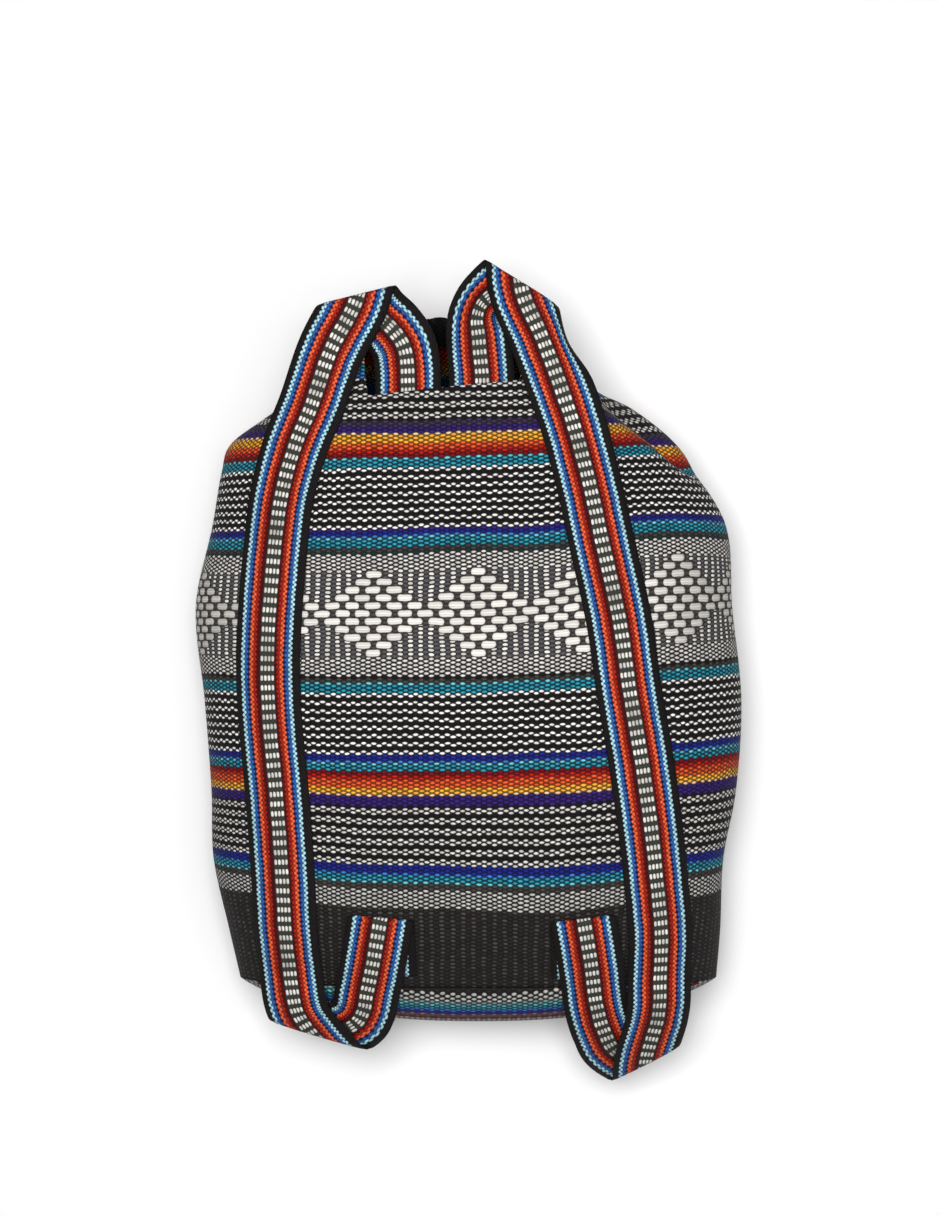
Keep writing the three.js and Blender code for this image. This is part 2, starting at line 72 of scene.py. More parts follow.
# The pleats round the neck, and finer ones between them. Their starts and ends are shares of the length.
PLEAT_DEPTH = 5.5
PLEAT_COUNT = 10
PLEAT_FADE = 30.0
NECK_START = 0.8
NECK_FULL = 0.94
FINE_PLEAT_SHARE = 0.35
FINE_PLEAT_COUNT = 27
FINE_PLEAT_TURN = 1.3
FINE_PLEAT_START = 0.86
FINE_PLEAT_FULL = 0.97

# The straps, flat and folded, and how they tilt and roll by the top fold
STRAP_WIDTH = 38.0
STRAP_THICK = 1.6
STRAP_EDGE_THIN = 0.55
STRAP_EDGE_POWER = 12
STRAP_CLEAR = 0.9
TIP_FOLD_RADIUS = 3.4
TOP_FOLD_RADIUS = 3.4
HEM_FOLD_RADIUS = 1.5
HEM_LENGTH = 34.0
TOP_TURN_PLACE = 34.0
TOP_TURN_REACH = 28.0
EDGE_ROLL_PLACE = 34.0
EDGE_ROLL_REACH = 40.0
EDGE_ROLL_START = -0.13
TIP_DROP_SLOPE = 0.45
TIP_DROP_CURVE = 0.0075
TOP_RUN_SLOPE = 0.2
SHORT_RUN_SLOPE = 0.1
SMOOTH_REACH = 4.0
LEAN_FADE = 30.0
RIM_CLEAR = 0.015
EDGE_REACH = 0.035

# The crease across the right shoulder, from the strap down to the side, as places on the back. A lip stands
# beyond its line, and the stripes lie lower there by CREASE_SHIFT, which fades out along it. Down through the
# heights of CREASE_LOW the cloth counts as up to CREASE_UNDER further along.
CREASE = [(92.0, 334.0), (124.5, 306.0)]
CREASE_DEPTH = 4.5
CREASE_WIDTH = 4.5
CREASE_EDGE = 0.5
CREASE_START = (-25.0, -5.0)
CREASE_END = (38.0, 65.0)
CREASE_LIP = {"share": 0.55, "place": 8.0, "reach": 6.0}
CREASE_SHIFT = 14.0
CREASE_FADE = (44.0, 84.0)
CREASE_UNDER = 200.0
CREASE_LOW = (30.0, 75.0)

# How the stripes bend across the bag. High ones rise to the right in two ramps, each with its start, its end
# and its share. Low ones rise in a curve. A swell lifts the low ones at the left side, and a dip lowers them
# right of the middle.
HIGH_STRIPES = (180.0, 250.0)
HIGH_RAMPS = [(-100.0, 80.0, 0.3), (30.0, 120.0, 0.7)]
LOW_REACH = 140.0
LOW_POWER = 1.5
LOW_MOST = 1.1
RISE_AT_SEAM = 2.2
RISE_SLOPE = 0.034
RISE_LEVEL = 240.0
LEFT_SWELL = {"height": 6.4, "sides": (50.0, 140.0), "place": 60.0, "reach": 40.0}
LOW_DIP = {"depth": 3.6, "place": 48.0, "reach": 34.0, "fade": (40.0, 120.0)}

# Fineness of the visual meshes: counts, and steps in millimetres
BODY_COLUMNS = 300
BODY_ROWS = 150
BASE_RINGS = 26
BASE_COLUMNS = 240
SECTION_STEPS = 720
ALONG_STEPS = 240
CURVE_STEPS = 60
STRAP_ACROSS = 14
STRAP_STEP = 2.5
FOLD_STEP = 0.8
FOLD_MARGIN = 2.2
SECTION_TANGENT = 0.5
STRIP_TANGENT = 0.4

# Cross-sections from the base seam (0) to the mouth's far rim (1): along, left, right, top, bottom
BODY_SECTIONS = np.array([
    (0.0, 0.84, 0.912, 0.8, 0.1),
    (0.075, 0.88, 0.925, 0.915, -0.01),
    (0.183, 0.935, 0.935, 0.975, -0.05),
    (0.285, 0.942, 0.98, 0.995, -0.06),
    (0.425, 0.967, 1.0, 1.0, -0.06),
    (0.568, 1.0, 0.967, 0.99, -0.06),
    (0.692, 0.94, 0.945, 0.965, -0.05),
    (0.777, 0.905, 0.825, 0.945, -0.03),
    (0.82, 0.868, 0.735, 0.93, 0.0),
    (0.866, 0.7, 0.585, 0.915, 0.07),
    (0.91, 0.56, 0.42, 0.9, 0.16),
    (0.956, 0.47, 0.31, 0.885, 0.26),
    (1.0, 0.45, 0.28, 0.86, 0.34),
])
LEFT, RIGHT, TOP, BOTTOM = 1, 2, 3, 4

# Dents and swells of the back: x, along, size across, size along, rise
BACK_DENTS = [
    (0.62, 0.8, 0.2, 0.07, -0.03),
    (-0.84, 0.8, 0.14, 0.12, -0.02),
    (0.0, 0.08, 0.6, 0.1, 0.015),
    (-0.05, 0.55, 0.5, 0.2, 0.012),
    (0.8, 0.3, 0.14, 0.12, 0.015),
]

# Straps as seen from above: places are shares of the half width and of the length
STRAP_PLANS = {
    "left_strap": {
        "short": [(-0.21, 0.8), (-0.213, 0.885), (-0.222, 0.945), (-0.262, 0.976), (-0.32, 0.999)],
        "turn_bank": 14.0,
        "edge_roll": 0.0,
        "top_fold": {"place": (-0.395, 1.0165), "heading": 14.0, "height": 0.93},
        "main": [
            (-0.485, 0.945), (-0.553, 0.866), (-0.612, 0.805), (-0.658, 0.735), (-0.68, 0.665),
            (-0.7, 0.557), (-0.707, 0.47), (-0.698, 0.39), (-0.677, 0.297), (-0.657, 0.18),
            (-0.649, 0.09), (-0.636, 0.02), (-0.617, -0.036),
        ],
        "tip_fold": {"place": (-0.577, -0.0695), "heading": -16.6},
        "tail": [(-0.425, -0.066), (-0.378, -0.04), (-0.362, -0.01), (-0.337, 0.04)],
        "hem_fold": {"place": (-0.309, 0.106), "heading": -4.0},
    },
    "right_strap": {
        "short": [(0.05, 0.8), (0.048, 0.9), (0.037, 0.96), (0.03, 1.0), (0.075, 1.028)],
        "turn_bank": -38.0,
        "edge_roll": 70.0,
        "top_fold": {"place": (0.187, 1.034), "heading": -31.0, "height": 0.93},
        "main": [
            (0.264, 0.96), (0.348, 0.865), (0.39, 0.807), (0.432, 0.735), (0.468, 0.663),
            (0.527, 0.55), (0.563, 0.446), (0.605, 0.344), (0.643, 0.235), (0.668, 0.144),
            (0.683, 0.08), (0.683, 0.01), (0.68, -0.05),
        ],
        "tip_fold": {"place": (0.648, -0.128), "heading": 31.0},
        "tail": [(0.54, -0.112), (0.49, -0.074), (0.458, -0.03), (0.436, 0.03)],
        "hem_fold": {"place": (0.405, 0.104), "heading": 6.0},
    },
}


def smoothstep(x, low, high):
    t = np.clip((x - low) / (high - low), 0.0, 1.0)
    return t * t * (3 - 2 * t)


def lerp(a, b, t):
    """From a to b by the share t, which may be a shader's Value."""
    return a + (b - a) * t


def swell(value, place, reach):
    """1 at its place, and less with distance on both sides."""
    return np.exp(-(((value - place) / reach) ** 2))


def signed_power(value, power):
    return np.sign(value) * np.abs(value) ** power


def from_table(column, along):
    """A smooth curve through one column of the section table."""
    table = BODY_SECTIONS
    at = np.clip(along, table[0, 0], table[-1, 0])
    i = np.clip(np.searchsorted(table[:, 0], at, side="left") - 1, 0, len(table) - 2)
    before = np.maximum(np.arange(len(table)) - 1, 0)
    after = np.minimum(np.arange(len(table)) + 1, len(table) - 1)
    slope = (table[after, column] - table[before, column]) / (table[after, 0] - table[before, 0])
    span = table[i + 1, 0] - table[i, 0]
    t = (at - table[i, 0]) / span
    h = t * t * (3 - 2 * t)
    start = t * (1 - t) * (1 - t) * slope[i] * span
    end = t * t * (1 - t) * slope[i + 1] * span
    return table[i, column] * (1 - h) + table[i + 1, column] * h + start - end


def dent_rise(x, along):
    """How far the dents and swells of the back lift its cloth."""
    rise = 0.0
    for place_x, place_along, size_x, size_y, height in BACK_DENTS:
        share = swell(x / BAG_HALF_WIDTH, place_x, size_x) * swell(along, place_along, size_y)
        rise = rise + height * BAG_THICKNESS * share
    return rise


def section_shape(along):
    """A cross-section's middle and half size, across and upwards."""
    left = -from_table(LEFT, along) * BAG_HALF_WIDTH
    right = from_table(RIGHT, along) * BAG_HALF_WIDTH
    top = from_table(TOP, along) * BAG_THICKNESS
    bottom = from_table(BOTTOM, along) * BAG_THICKNESS
    return (left + right) / 2, (right - left) / 2, (top + bottom) / 2, (top - bottom) / 2


def back_height(x, along):
    """The height of the back over points of the plan."""
    middle_x, half_x, middle_z, half_z = section_shape(along)
    across = np.minimum(np.abs(x - middle_x) / half_x, 1.0)
    up = (1 - across**SQUARENESS) ** (1 / SQUARENESS)
    return middle_z + half_z * up + dent_rise(x, along) * up


def section_run(along):
    """A cross-section as points and distances round it, clockwise from over the cloth's centre line."""
    middle_x, half_x, middle_z, half_z = section_shape(along)
    start = math.acos(signed_power(-middle_x / half_x, SQUARENESS / 2))
    angle = start - np.linspace(0, 2 * math.pi, SECTION_STEPS + 1)
    power = 2 / SQUARENESS
    x = middle_x + half_x * signed_power(np.cos(angle), power)
    up = signed_power(np.sin(angle), power)
    dent = np.where(up > 0, dent_rise(x, along) * up, 0.0)
    z = np.maximum(middle_z + half_z * up + dent, 0.0)
    distance = np.concatenate([[0.0], np.cumsum(np.hypot(np.diff(x), np.diff(z)))])
    return x, z, distance


CLOTH_ROUND = max(section_run(row[0])[2][-1] for row in BODY_SECTIONS)
FLAT_HALF = NOTCH_HALF_WIDTH + abs(NOTCH_CENTRE) + 2 * NOTCH_EDGE


def round_section(length, around):
    """Where cloth lies round a section: flat at the middle of the back, the rest drawn together."""
    size = np.abs(around)
    flat = min(FLAT_HALF, length / 4)
    beyond = (size - flat) * (length / 2 - flat) / (CLOTH_ROUND / 2 - flat)
    return np.sign(around) * np.where(size < flat, size, flat + beyond)


def pleat_rise(around, along):
    """How far the pleats lift the cloth out of its section."""
    start = NOTCH_HALF_WIDTH + NOTCH_EDGE
    sides = smoothstep(np.abs(around - NOTCH_CENTRE), start, start + PLEAT_FADE)
    share = sides * smoothstep(along, NECK_START, NECK_FULL)
    wave = np.cos(2 * math.pi * PLEAT_COUNT * around / CLOTH_ROUND)
    fine = FINE_PLEAT_SHARE * np.cos(2 * math.pi * FINE_PLEAT_COUNT * around / CLOTH_ROUND + FINE_PLEAT_TURN)
    return PLEAT_DEPTH * share * (wave + fine * smoothstep(along, FINE_PLEAT_START, FINE_PLEAT_FULL))


def notch_rim(around):
    """The rim at the middle of the back, where both straps come out: it rises to the right."""
    return 1 - (NOTCH_DEPTH - NOTCH_TILT * (around - NOTCH_CENTRE)) / BAG_LENGTH


def rim_along(around):
    """How far along the bag its cloth ends, all round."""
    off = np.abs(around - NOTCH_CENTRE)
    notch = 1 - smoothstep(off, NOTCH_HALF_WIDTH - NOTCH_EDGE, NOTCH_HALF_WIDTH + NOTCH_EDGE)
    front = smoothstep(off / CLOTH_ROUND, FRONT_RIM_START, FRONT_RIM_FULL)
    return lerp(1 + front * FRONT_RIM_RISE / BAG_LENGTH, notch_rim(around), notch)


def body_sheet(columns):
    """The outer cloth on a fine grid of sections: places at each section and cloth column."""
    alongs = np.linspace(0, 1, ALONG_STEPS + 1)
    x_all, z_all = [], []
    for along in alongs:
        x, z, distance = section_run(along)
        at = round_section(distance[-1], columns) % distance[-1]
        here = np.stack([np.interp(at, distance, x), np.interp(at, distance, z)])
        ahead = (at + SECTION_TANGENT) % distance[-1]
        behind = (at - SECTION_TANGENT) % distance[-1]
        tangent = np.stack([
            np.interp(ahead, distance, x) - np.interp(behind, distance, x),
            np.interp(ahead, distance, z) - np.interp(behind, distance, z),
        ])
        tangent /= np.linalg.norm(tangent, axis=0)
        rise = pleat_rise(columns, along)
        x_all.append(here[0] - tangent[1] * rise)
        z_all.append(np.maximum(here[1] + tangent[0] * rise, 0.0))
    return alongs, np.array(x_all), np.array(z_all)


def crease_place(points):
    """Where points of the body lie from the crease: how far beyond its line, and how far along it."""
    start, end = np.array(CREASE)
    run = (end - start) / np.hypot(*(end - start))
    offset = points[:, :, :2] - start
    under = CREASE_UNDER * (1 - smoothstep(points[:, :, 2], *CREASE_LOW))
    return np.stack([offset @ np.array([-run[1], run[0]]), offset @ run + under], axis=-1)


def crease_depth(place):
    """How deep the crease is pressed in, with the cloth standing up beyond it."""
    beyond, along = place[:, :, 0], place[:, :, 1]
    ends = smoothstep(along, *CREASE_START) * (1 - smoothstep(along, *CREASE_END))
    lip = CREASE_LIP["share"] * swell(beyond, CREASE_LIP["place"], CREASE_LIP["reach"])
    return CREASE_DEPTH * (swell(beyond, 0.0, CREASE_WIDTH) - lip) * ends


def stripe_rise(x, y):
    """How much nearer the mouth the stripes lie than straight ones."""
    high_share = sum(share * smoothstep(x, start, end) for start, end, share in HIGH_RAMPS)
    low_share = np.clip(x / LOW_REACH, 0.0, LOW_MOST) ** LOW_POWER
    most = RISE_AT_SEAM + RISE_SLOPE * np.minimum(y, RISE_LEVEL)
    right = lerp(low_share, high_share, smoothstep(y, *HIGH_STRIPES)) * most
    sides = smoothstep(-x, *LEFT_SWELL["sides"])
    left = LEFT_SWELL["height"] * sides * swell(y, LEFT_SWELL["place"], LEFT_SWELL["reach"])
    low = 1 - smoothstep(y, *LOW_DIP["fade"])
    return right + left - LOW_DIP["depth"] * low * swell(x, LOW_DIP["place"], LOW_DIP["reach"])


def grid_normals(points, wrapped):
    """Normals of a grid of points, rows first; wrapped says that its columns close on themselves."""
    if wrapped:
        across = np.roll(points, -1, axis=1) - np.roll(points, 1, axis=1)
    else:
        across = np.gradient(points, axis=1)
    along = np.gradient(points, axis=0)
    normal = np.cross(across, along)
    return normal / np.maximum(np.linalg.norm(normal, axis=2, keepdims=True), 1e-9)


def grid_faces(rows, columns, start, wrapped, flip):
    """Faces of a grid of points whose first one has the number start."""
    j, i = np.meshgrid(np.arange(rows - 1), np.arange(columns if wrapped else columns - 1), indexing="ij")
    here, above = start + j * columns, start + (j + 1) * columns
    nxt = (i + 1) % columns
    quads = np.stack([here + i, here + nxt, above + nxt, above + i], axis=-1).reshape(-1, 4)
    return quads[:, ::-1] if flip else quads


def edge_faces(rows, columns, wrapped):
    """Faces that close the space between an outer grid and the inner grid that follows it."""
    inner = rows * columns
    i = np.arange(columns if wrapped else columns - 1)
    nxt = (i + 1) % columns
    last = (rows - 1) * columns
    parts = [
        np.stack([i, inner + i, inner + nxt, nxt], axis=-1),
        np.stack([last + i, last + nxt, inner + last + nxt, inner + last + i], axis=-1),
    ]
    if not wrapped:
        near = np.arange(rows - 1) * columns
        far = near + columns
        end = columns - 1
        parts.append(np.stack([near, far, inner + far, inner + near], axis=-1))
        parts.append(np.stack([near + end, inner + near + end, inner + far + end, far + end], axis=-1))
    return np.concatenate(parts)


def mesh_object(name, points, faces, maps, materials):
    """A smooth mesh. maps holds its UV maps by name, in millimetres; one is the cloth's own coordinates."""
    mesh = bpy.data.meshes.new(name)
    placed = points + np.array([0.0, SEAM_Y, 0.0])
    mesh.from_pydata((placed * MM).tolist(), [], faces.tolist())
    for material in materials:
        mesh.materials.append(material)
    loops = np.zeros(len(mesh.loops), np.int32)
    mesh.loops.foreach_get("vertex_index", loops)
    for map_name, place in maps.items():
        layer = mesh.uv_layers.new(name=map_name)
        layer.data.foreach_set("uv", (place[loops] * MM).astype(np.float32).ravel())
    mesh.shade_smooth()
    obj = bpy.data.objects.new(name, mesh)
    bpy.context.collection.objects.link(obj)
    return obj


def shell_object(name, outer, inner, maps, wrapped, materials):
    """A closed shell between two grids of points. maps holds the outer points' UV maps, and a second
    material is the inner side's."""
    rows, columns = outer.shape[:2]
    points = np.concatenate([outer.reshape(-1, 3), inner.reshape(-1, 3)])
    faces = np.concatenate([
        grid_faces(rows, columns, 0, wrapped, False),
        grid_faces(rows, columns, rows * columns, wrapped, True),
        edge_faces(rows, columns, wrapped),
    ])
    doubled = {key: np.concatenate([grid.reshape(-1, 2)] * 2) for key, grid in maps.items()}
    obj = mesh_object(name, points, faces, doubled, materials)
    if len(materials) > 1:
        outer_count = (rows - 1) * (columns if wrapped else columns - 1)
        side = np.zeros(len(obj.data.polygons), np.int32)
        side[outer_count:2 * outer_count] = 1
        obj.data.polygons.foreach_set("material_index", side)
    return obj


class Value:
    """A socket of a shader's node tree that can be reckoned with like a number."""

    tree = None

    def __init__(self, socket):
        self.socket = socket

    @classmethod
    def math(cls, operation, *terms):
        """The result of one operation on values and numbers."""
        node = cls.tree.nodes.new("ShaderNodeMath")
        node.operation = operation
        for slot, term in zip(node.inputs, terms):
            if isinstance(term, Value):
                cls.tree.links.new(term.socket, slot)
            else:
                slot.default_value = term
        return Value(node.outputs[0])

    def __add__(self, other):
        return self.math("ADD", self, other)

    def __radd__(self, other):
        return self.math("ADD", other, self)

    def __sub__(self, other):
        return self.math("SUBTRACT", self, other)

    def __rsub__(self, other):
        return self.math("SUBTRACT", other, self)

    def __mul__(self, other):
        return self.math("MULTIPLY", self, other)

    def __rmul__(self, other):
        return self.math("MULTIPLY", other, self)

    def __truediv__(self, other):
        return self.math("DIVIDE", self, other)

    def floor(self):
        return self.math("FLOOR", self)

    def abs(self):
        return self.math("ABSOLUTE", self)

    def min(self, other):
        return self.math("MINIMUM", self, other)

    def max(self, other):
        return self.math("MAXIMUM", self, other)

    def below(self, other):
        return self.math("LESS_THAN", self, other)

    def above(self, other):
        return self.math("GREATER_THAN", self, other)

    def sqrt(self):
        return self.math("SQRT", self)

    def ramp(self, low, high):
        """0 at low and 1 at high, smooth between."""
        node = self.tree.nodes.new("ShaderNodeMapRange")
        node.interpolation_type = "SMOOTHSTEP"
        node.inputs["From Min"].default_value = low
        node.inputs["From Max"].default_value = high
        self.tree.links.new(self.socket, node.inputs["Value"])
        return Value(node.outputs["Result"])


def choose(chance, first, second):
    """second where chance is 0 and first where it is 1."""
    return second + (first - second) * chance


def noise(place, scale, detail=2.0):
    """Cloudy noise from 0 to 1."""
    node = Value.tree.nodes.new("ShaderNodeTexNoise")
    node.inputs["Scale"].default_value = scale
    node.inputs["Detail"].default_value = detail
    Value.tree.links.new(place, node.inputs["Vector"])
    return Value(node.outputs["Fac"])


def combine(x, y):
    """Two values as the coordinates of a place."""
    node = Value.tree.nodes.new("ShaderNodeCombineXYZ")
    Value.tree.links.new(x.socket, node.inputs[0])
    Value.tree.links.new(y.socket, node.inputs[1])
    return node.outputs[0]


def wander(place, scale, reach):
    """A slow shift to and fro, as the threads of real cloth have."""
    return (noise(place, scale, 1.0) - 0.5) * reach


def speckle(x, y):
    """A chance number from 0 to 1 for each whole cell."""
    node = Value.tree.nodes.new("ShaderNodeTexWhiteNoise")
    node.noise_dimensions = "2D"
    Value.tree.links.new(combine(x, y), node.inputs["Vector"])
    return Value(node.outputs["Value"])


def linear(colour, gap=1.0):
    """An sRGB triple as the linear colour of a node socket; gap is kept as its alpha."""
    return tuple(((c / 255 + 0.055) / 1.055) ** 2.4 if c > 10 else c / 255 / 12.92 for c in colour) + (gap,)


def mix_colour(share, first, second):
    """first where share is 0 and second where it is 1; colours are sockets or sRGB triples."""
    node = Value.tree.nodes.new("ShaderNodeMix")
    node.data_type = "RGBA"
    Value.tree.links.new(share.socket, node.inputs["Factor"])
    for slot, colour in (("A", first), ("B", second)):
        socket = next(s for s in node.inputs if s.name == slot and s.type == "RGBA")
        if isinstance(colour, tuple):
            socket.default_value = linear(colour)
        else:
            Value.tree.links.new(colour, socket)
    return next(s for s in node.outputs if s.type == "RGBA")


def scale_colour(colour, factor):
    """A colour, a socket or an sRGB triple, made darker or lighter by a factor that varies."""
    node = Value.tree.nodes.new("ShaderNodeVectorMath")
    node.operation = "SCALE"
    if isinstance(colour, tuple):
        node.inputs[0].default_value = linear(colour)[:3]
    else:
        Value.tree.links.new(colour, node.inputs[0])
    Value.tree.links.new(factor.socket, node.inputs["Scale"])
    return node.outputs[0]


# How many stops and how many threads one colour ramp holds sharply
RAMP_STOPS = 30
RAMP_WIDTH = 48


def ramp_parts(bands):
    """Cuts a table of (yarn, width) into stretches that one colour ramp can hold sharply."""
    parts = [[]]
    at, start = 0, 0
    for yarn, width in bands:
        if len(parts[-1]) == RAMP_STOPS or (parts[-1] and at + width - start > RAMP_WIDTH):
            parts.append([])
            start = at
        parts[-1].append((at, yarn))
        at += width
    return parts, at


def colour_bands(place, bands):
    """The yarn of a table of (yarn, width) at a place along it: its colour, and its shade in the gaps."""
    result, gap = None, None
    parts, total = ramp_parts(bands)
    ends = [part[0][0] for part in parts[1:]] + [total]
    for part, end in zip(parts, ends):
        low = part[0][0]
        node = Value.tree.nodes.new("ShaderNodeValToRGB")
        node.color_ramp.interpolation = "CONSTANT"
        ramp = node.color_ramp.elements
        ramp.remove(ramp[1])
        ramp[0].position = 0.0
        ramp[0].color = linear(*part[0][1])
        for start, yarn in part[1:]:
            stop = ramp.new((start - low) / (end - low))
            stop.color = linear(*yarn)
        Value.tree.links.new(((place - low) / (end - low)).socket, node.inputs["Fac"])
        colour, alpha = node.outputs["Color"], Value(node.outputs["Alpha"])
        if result is None:
            result, gap = colour, alpha
        else:
            beyond = place.above(low)
            result = mix_colour(beyond, result, colour)
            gap = choose(beyond, alpha, gap)
    return result, gap


class Weave:
    """The floats of a plain weave: ovals on every second cell of a grid of picks and threads.

    off is the squared distance from the middle of the nearest float, 1 at its edge. first says that this
    float lies on the grid's first set of cells, and pick and thread count the place of its middle."""

    def __init__(self, along, across, pick, thread, long, wide):
        sets = []
        for shift in (0.0, 0.5):
            cell_u = ((along / (2 * pick) + shift).floor() + (0.5 - shift)) * 2
            cell_v = ((across / (2 * thread) + shift).floor() + (0.5 - shift)) * 2
            du = (along / pick - cell_u) * (2 * pick / long)
            dv = (across / thread - cell_v) * (2 * thread / wide)
            sets.append((du * du, dv * dv, cell_u, cell_v))
        (du_1, dv_1, pick_1, thread_1), (du_2, dv_2, pick_2, thread_2) = sets
        self.first = (du_1 + dv_1).below(du_2 + dv_2)
        self.off_along = choose(self.first, du_1, du_2)
        self.off_across = choose(self.first, dv_1, dv_2)
        self.off = self.off_along + self.off_across
        self.height = (1 - self.off).max(0.0).sqrt()
        self.pick = choose(self.first, pick_1, pick_2)
        self.thread = choose(self.first, thread_1, thread_2)
        self.chance = speckle(self.pick, self.thread)


# Yarns: the sRGB colour on top of a float, and its share of light down in the gaps between floats
BLACK = ((23, 20, 20), 0.6)
CHARCOAL = ((38, 35, 34), 0.6)
DARK_GREY = ((66, 63, 60), 0.35)
WHITE = ((246, 243, 238), 0.02)
SOFT_WHITE = ((214, 210, 205), 0.02)
CHECK_WHITE = ((190, 187, 183), 0.02)
INDIGO = ((54, 32, 112), 0.32)
PLUM = ((60, 48, 74), 0.4)
NAVY = ((28, 38, 132), 0.32)
BLUE = ((62, 118, 196), 0.16)
TEAL = ((44, 148, 172), 0.1)
BRIGHT_TEAL = ((106, 194, 208), 0.08)
GREY_TEAL = ((120, 158, 158), 0.2)
DARK_TEAL = ((30, 50, 52), 0.5)
DARK_RED = ((120, 14, 20), 0.34)
RED = ((180, 32, 22), 0.3)
ORANGE = ((232, 90, 42), 0.2)
YELLOW = ((247, 174, 56), 0.17)
CREAM = ((238, 200, 156), 0.1)
MAROON = ((96, 16, 20), 0.4)
LAVENDER = ((140, 128, 170), 0.2)
RUST = ((124, 76, 66), 0.3)
BAND_CYAN = ((172, 216, 228), 0.1)
BAND_BLUE = ((44, 94, 164), 0.26)
BAND_NAVY = ((14, 24, 74), 0.5)
BAND_ORANGE = ((234, 96, 52), 0.24)
BAND_RED = ((158, 32, 16), 0.38)
BAND_MAROON = ((74, 9, 12), 0.5)

# Plain sRGB colours: long white floats, the paler ones by the seam, and what lies between the white ones
WHITE_FLOAT = (236, 232, 225)
SEAM_FLOAT = (84, 80, 78)
GROUND_GREY = (80, 78, 80)
GROUND_DARK = (38, 36, 38)
BRICK_GROUND = (66, 62, 60)
LADDER_GROUND = (50, 52, 45)

# Noise: how fine it is, and for the shifts of threads also how far they go, in millimetres
FIBRE_SCALE = 2600.0
WORN_SCALE = 45.0
CLOTH_TONE_SCALE = 9.0
BAND_TONE_SCALE = 12.0
SLOW_WANDER = (22.0, 2.6)
FINE_WANDER = (170.0, 1.0)
SIDE_WANDER = (60.0, 3.0)
BAND_WANDER = (90.0, 0.7)

# Height of the floats' relief, in metres, and the share of it that single fibres have
CLOTH_RELIEF = 0.0008
BAND_RELIEF = 0.0006
FIBRE_RELIEF = 0.25
# Painted shade: the inner side of the cloth is this much darker, as the shadowed inside of the mouth
INSIDE_PAINTED_SHADE = 0.35


def repeated(yarn, threads, black, times):
    """Groups of threads of one yarn with black ones between them."""
    bands = []
    for _ in range(times):
        bands += [(yarn, threads), (BLACK, black)]
    return bands[:-1]


# The weave of the cloth, and its stripes from the base seam up, each with its number of threads
THREAD = 1.177
PICK = 3.0
FLOAT_LONG = 3.6
FLOAT_WIDE = 1.72
DIAMOND_STRIPE = (WHITE, 42)
CLOTH_STRIPES = [
    (CHARCOAL, 42), (CHECK_WHITE, 9), (DARK_GREY, 3), (BRIGHT_TEAL, 1), (TEAL, 3), (BLUE, 1), (NAVY, 4),
    *repeated(SOFT_WHITE, 3, 2, 6),
    (BLACK, 1), (INDIGO, 5), (CREAM, 1), (YELLOW, 3), (ORANGE, 4), (RED, 2), (DARK_RED, 2), (TEAL, 3),
    (BRIGHT_TEAL, 1), (BLUE, 1), (NAVY, 3),
    *repeated(WHITE, 2, 2, 8),
    (TEAL, 4), (BRIGHT_TEAL, 1), (DARK_GREY, 2), (BLACK, 1), (SOFT_WHITE, 9), DIAMOND_STRIPE, (SOFT_WHITE, 8),
    (DARK_TEAL, 1), (DARK_GREY, 2), (TEAL, 4), (BRIGHT_TEAL, 1), (BLUE, 1), (NAVY, 2), (INDIGO, 1),
    *repeated(WHITE, 2, 2, 8),
    (TEAL, 4), (BRIGHT_TEAL, 1), (DARK_RED, 2), (RED, 2), (ORANGE, 3), (YELLOW, 4), (CREAM, 1), (INDIGO, 3),
    (PLUM, 3), (BLACK, 1),
    *repeated(SOFT_WHITE, 3, 2, 4),
    (BLACK, 2), (WHITE, 1), (BLUE, 4), (TEAL, 3), (GREY_TEAL, 1), (CREAM, 2), (YELLOW, 3), (ORANGE, 4),
    (RED, 3), (DARK_RED, 2), (BLACK, 10),
]

# The band of diamonds: rows of brick-like long floats. BRICK_LONG and BRICK_WIDE are shares of a brick's
# place, and bricks are darkened as painted shade between the two distances of BRICK_SIDES round the bag.
DIAMOND_ROWS = 11
DIAMOND_PICKS = 20
DIAMOND_PLACE = 5.5
BRICK_PICKS = 4
BRICK_LONG = 0.75
BRICK_WIDE = 0.9
BRICK_LANES = 3
BRICK_SIDE_SHADE = 0.3
BRICK_SIDES = (90.0, 150.0)

# Stripes of the base from the top of its seam down
BASE_STRIPES = [
    (CHARCOAL, 1), (CHECK_WHITE, 4), (GREY_TEAL, 2), (BRIGHT_TEAL, 1), (TEAL, 2), (BLUE, 2), (NAVY, 3),
    (LAVENDER, 1), (RUST, 3), (MAROON, 3), (CHECK_WHITE, 10), (CHARCOAL, 3),
    *repeated(SOFT_WHITE, 3, 2, 5),
    (BLACK, 30),
]

# Lines of the band from one edge to the other, each with its width in threads
BAND_THREAD = 1.0
BAND_PICK = 1.42
BAND_FLOAT_LONG = 2.5
BAND_FLOAT_WIDE = 1.9
BAND_LINES = [
    (BLACK, 4), (BAND_CYAN, 2), (BAND_BLUE, 2), (BAND_NAVY, 1), (BAND_ORANGE, 2), (BAND_RED, 2),
    (BAND_MAROON, 2), (CHARCOAL, 8), (BAND_MAROON, 2), (BAND_RED, 2), (BAND_ORANGE, 2), (BAND_NAVY, 1),
    (BAND_BLUE, 2), (BAND_CYAN, 2), (BLACK, 4),
]

# The ladder of white floats down the middle of the band; LADDER_FILL is half a float's share of its pitch
LADDER_PERIOD = 5.6
LADDER_FLOAT = 3.3
LADDER_THREADS = 4
LADDER_PITCH = 2.1
LADDER_FILL = 0.42

